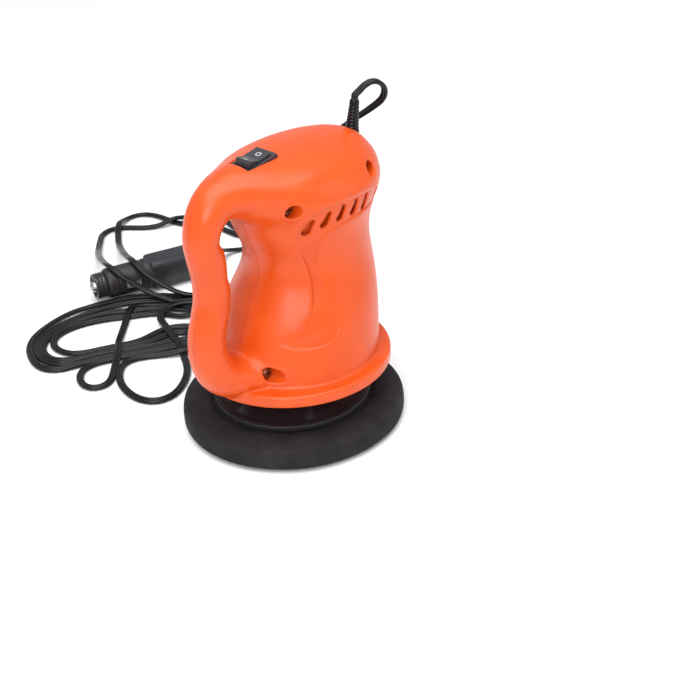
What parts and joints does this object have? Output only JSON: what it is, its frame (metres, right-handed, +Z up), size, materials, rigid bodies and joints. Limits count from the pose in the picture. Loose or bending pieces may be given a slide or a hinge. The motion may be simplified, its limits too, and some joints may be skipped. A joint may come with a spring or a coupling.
{
  "type": "rotary polisher",
  "caption": "Handheld 12 V car polisher: split orange body with a loop handle, rocker switch, round foam pad on an eccentric drive, and a twin-flex cord with an accessory plug.",
  "frame": {"origin": "foot of the motor axis on the flat face of the foam pad, where the tool stands", "axes": "+Z up along the motor axis, +X towards the nose where the cord leaves, the loop handle at -X, the two shells meet on Y = 0"},
  "size_m": [0.2171, 0.3398, 0.1771],
  "materials": {
    "orange_abs": "satin moulded ABS",
    "zinc_steel": "zinc plated",
    "bright_steel": "ground",
    "brass": "stamped",
    "copper": "enamelled copper",
    "dark_ferrite": "ferrite and carbon",
    "black_matte": "moulded nylon",
    "black_gloss": "moulded",
    "black_foam": "closed-cell foam",
    "black_pvc": "PVC",
    "red_pvc": "PVC",
    "nylon": "moulded"
  },
  "bodies": {
    "housing": {"clamp_screw_1": "zinc_steel", "clamp_screw_2": "zinc_steel", "cord": "black_pvc", "cord_boot": "black_pvc", "cord_clamp": "nylon", "cord_hank": "black_pvc", "cord_inner": "black_pvc", "cord_loops": "black_pvc", "cord_plug_end": "black_pvc", "housing_left": "orange_abs", "housing_right": "orange_abs", "housing_screw_base": "zinc_steel", "housing_screw_front": "zinc_steel", "housing_screw_rear": "zinc_steel", "lead_cord_to_motor": "black_pvc", "lead_cord_to_switch": "red_pvc", "lead_switch_to_motor": "red_pvc", "motor_brush_1": "dark_ferrite", "motor_brush_2": "dark_ferrite", "motor_bushing_front": "brass", "motor_bushing_rear": "brass", "motor_can": "zinc_steel", "motor_end_cap": "black_matte", "motor_magnet_1": "dark_ferrite", "motor_magnet_2": "dark_ferrite", "motor_plate": "bright_steel", "motor_screw_1": "zinc_steel", "motor_screw_2": "zinc_steel", "motor_terminal_1": "brass", "motor_terminal_2": "brass", "plug_body": "black_matte", "plug_boot": "black_pvc", "plug_collar": "black_gloss", "plug_contact_1": "bright_steel", "plug_contact_2": "bright_steel", "plug_fuse": "zinc_steel", "plug_tip": "bright_steel", "switch_body": "black_gloss", "switch_terminal_1": "brass", "switch_terminal_2": "brass"},
    "rocker_key": {"rocker": "black_gloss"},
    "rotor": {"motor_shaft": "bright_steel", "armature_core": "bright_steel", "armature_winding_lower": "copper", "armature_winding_upper": "copper", "commutator": "copper", "eccentric_hub": "zinc_steel", "hub_grub_screw": "dark_ferrite", "bearing_inner_race": "bright_steel", "spindle_washer": "zinc_steel", "spindle_screw": "zinc_steel"},
    "pad": {"bearing_outer_race": "bright_steel", "bearing_balls": "bright_steel", "bearing_circlip": "bright_steel", "backing_plate": "black_matte", "foam_pad": "black_foam"}
  },
  "joints": [
    {"name": "rocker_tilt", "type": "hinge", "parent": "housing", "child": "rocker_key", "pos_m": [-0.01708, 0, 0.1575], "axis": [0, 1, 0], "range_deg": [-20, 0]},
    {"name": "rotor_spin", "type": "hinge", "parent": "housing", "child": "rotor", "pos_m": [0, 0, 0.08], "axis": [0, 0, 1], "continuous": true},
    {"name": "pad_spin", "type": "hinge", "parent": "rotor", "child": "pad", "pos_m": [-0.003, 0, 0.0245], "axis": [0, 0, 1], "continuous": true}
  ]
}
